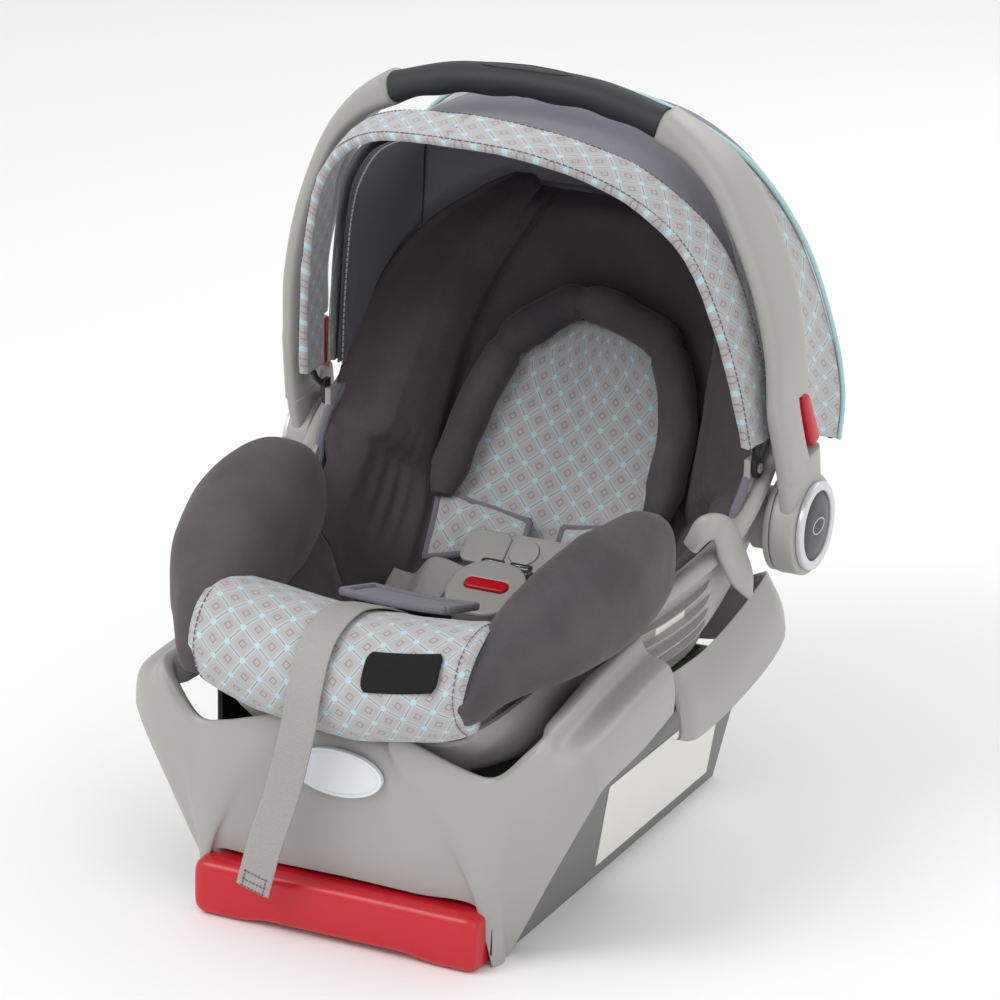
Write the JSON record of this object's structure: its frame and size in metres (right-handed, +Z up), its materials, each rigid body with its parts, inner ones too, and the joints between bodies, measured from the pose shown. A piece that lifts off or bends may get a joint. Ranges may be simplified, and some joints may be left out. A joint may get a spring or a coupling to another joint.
{
  "type": "infant car seat",
  "caption": "Rear-facing infant car seat carrier with swinging handle, canopy, padded harness seat and a levelling vehicle base.",
  "frame": {"origin": "on the floor under the base, on the seat's centre plane, 0.15 m behind the front edge of the lower tub", "axes": "+X the child's left, +Y towards the head end, +Z up"},
  "size_m": [0.4544, 0.5999, 0.6028],
  "materials": {
    "light_plastic": "moulded light grey, fine satin grain",
    "tub_plastic": "moulded mid grey",
    "black_plastic": "moulded black",
    "steel": "zinc-plated steel",
    "badge": "glossy pale plate, blank",
    "label": "plain printed film, no text",
    "red_plastic": "moulded red, semi-gloss",
    "foam": "bead foam",
    "plush": "short-pile plush",
    "print_fabric": "woven cotton with a printed diamond lattice",
    "tag": "woven tag, blank",
    "webbing": "woven polyester webbing",
    "clip_button": "moulded grey",
    "soft_grip": "soft-touch overmould",
    "hub_trim": "satin silver trim",
    "cap_plastic": "dark glossy cap",
    "canopy_fabric": "mauve-grey woven fabric",
    "lining": "dark lining fabric",
    "piping": "pale aqua piping"
  },
  "bodies": {
    "base": {"base_front_shell": "light_plastic", "base_rear_rim": "light_plastic", "base_tub": "tub_plastic", "base_receiver": "black_plastic", "latch_bars": "steel", "base_badge": "badge", "base_labels": "label", "foot_brackets": "black_plastic", "foot_pin": "steel"},
    "foot": {"level_foot": "red_plastic"},
    "handle": {"handle_frame": "light_plastic", "handle_grip": "soft_grip", "handle_hubs": "light_plastic", "hub_rings": "hub_trim", "hub_caps": "cap_plastic"},
    "handle_lock_left": {"handle_button_left": "red_plastic"},
    "handle_lock_right": {"handle_button_right": "red_plastic"},
    "canopy": {"canopy_band": "print_fabric", "canopy_bow": "black_plastic", "bow_ends": "black_plastic"},
    "lever": {"release_lever": "red_plastic"},
    "latch": {"latch_slide": "steel"},
    "clip_button": {"chest_clip_button": "clip_button"},
    "belt_button": {"buckle_button": "red_plastic"},
    "adjuster_catch": {"adjuster_lever": "steel"},
    "carrier": {"carrier_shell": "light_plastic", "shell_rims": "light_plastic", "foam_liner": "foam", "carrier_saddles": "light_plastic", "lever_brackets": "light_plastic", "lever_pin": "steel", "belt_guides": "light_plastic", "shell_label": "label", "back_pad": "plush", "seat_pad": "plush", "front_pad": "print_fabric", "front_tag": "tag", "leg_bolster_left": "plush", "leg_bolster_right": "plush", "head_roll": "plush", "body_pillow": "print_fabric", "harness_straps": "webbing", "lap_straps": "webbing", "strap_covers": "print_fabric", "chest_clip_left": "light_plastic", "chest_clip_right": "light_plastic", "buckle_housing": "light_plastic", "buckle_tongues": "steel", "crotch_strap": "webbing", "adjuster_housing": "black_plastic", "adjuster_flap": "print_fabric", "adjuster_strap": "webbing", "pivot_pins": "steel", "hub_mounts": "light_plastic", "canopy_panel": "print_fabric", "canopy_rear_panel": "canopy_fabric", "canopy_lining": "lining", "canopy_rear_bow": "black_plastic", "canopy_piping": "piping", "canopy_brackets": "light_plastic"}
  },
  "joints": [
    {"name": "carrier_lift", "type": "slide", "parent": "base", "child": "carrier", "axis": [0, 0, 1], "range_m": [0, 0.25]},
    {"name": "foot_fold", "type": "hinge", "parent": "base", "child": "foot", "pos_m": [0, -0.19, 0.026], "axis": [1, 0, 0], "range_deg": [0, 60]},
    {"name": "handle_swing", "type": "hinge", "parent": "carrier", "child": "handle", "pos_m": [0, 0.146, 0.254], "axis": [1, 0, 0], "range_deg": [-115, 0]},
    {"name": "handle_button_left_press", "type": "slide", "parent": "handle", "child": "handle_lock_left", "axis": [0, -1, 0], "range_m": [0, 0.005], "stiffness_N_per_m": 700, "springref_m": -0.003},
    {"name": "handle_button_right_press", "type": "slide", "parent": "handle", "child": "handle_lock_right", "axis": [0, -1, 0], "range_m": [0, 0.005], "stiffness_N_per_m": 700, "springref_m": -0.003},
    {"name": "canopy_fold", "type": "hinge", "parent": "carrier", "child": "canopy", "pos_m": [0, 0.115, 0.304], "axis": [1, 0, 0], "range_deg": [-7, 0]},
    {"name": "lever_pull", "type": "hinge", "parent": "carrier", "child": "lever", "pos_m": [0, 0.267, 0.262], "axis": [1, 0, 0], "range_deg": [0, 15], "stiffness_Nm_per_rad": 1.2, "springref_deg": -8.59},
    {"name": "latch_draw", "type": "slide", "parent": "carrier", "child": "latch", "axis": [0, 1, 0], "range_m": [0, 0.006]},
    {"name": "clip_button_press", "type": "slide", "parent": "carrier", "child": "clip_button", "axis": [0, 0.5878, -0.809], "range_m": [0, 0.0025], "stiffness_N_per_m": 900, "springref_m": -0.002},
    {"name": "belt_button_press", "type": "slide", "parent": "carrier", "child": "belt_button", "axis": [0, 0.4067, -0.9136], "range_m": [0, 0.004], "stiffness_N_per_m": 1500, "springref_m": -0.003},
    {"name": "adjuster_press", "type": "hinge", "parent": "carrier", "child": "adjuster_catch", "pos_m": [0, -0.0865, 0.2105], "axis": [1, 0, 0], "range_deg": [0, 11], "stiffness_Nm_per_rad": 0.6, "springref_deg": -8.59}
  ],
  "couplings": [
    {"joint": "latch_draw", "follows": "lever_pull", "m_per_rad": 0.0229}
  ]
}
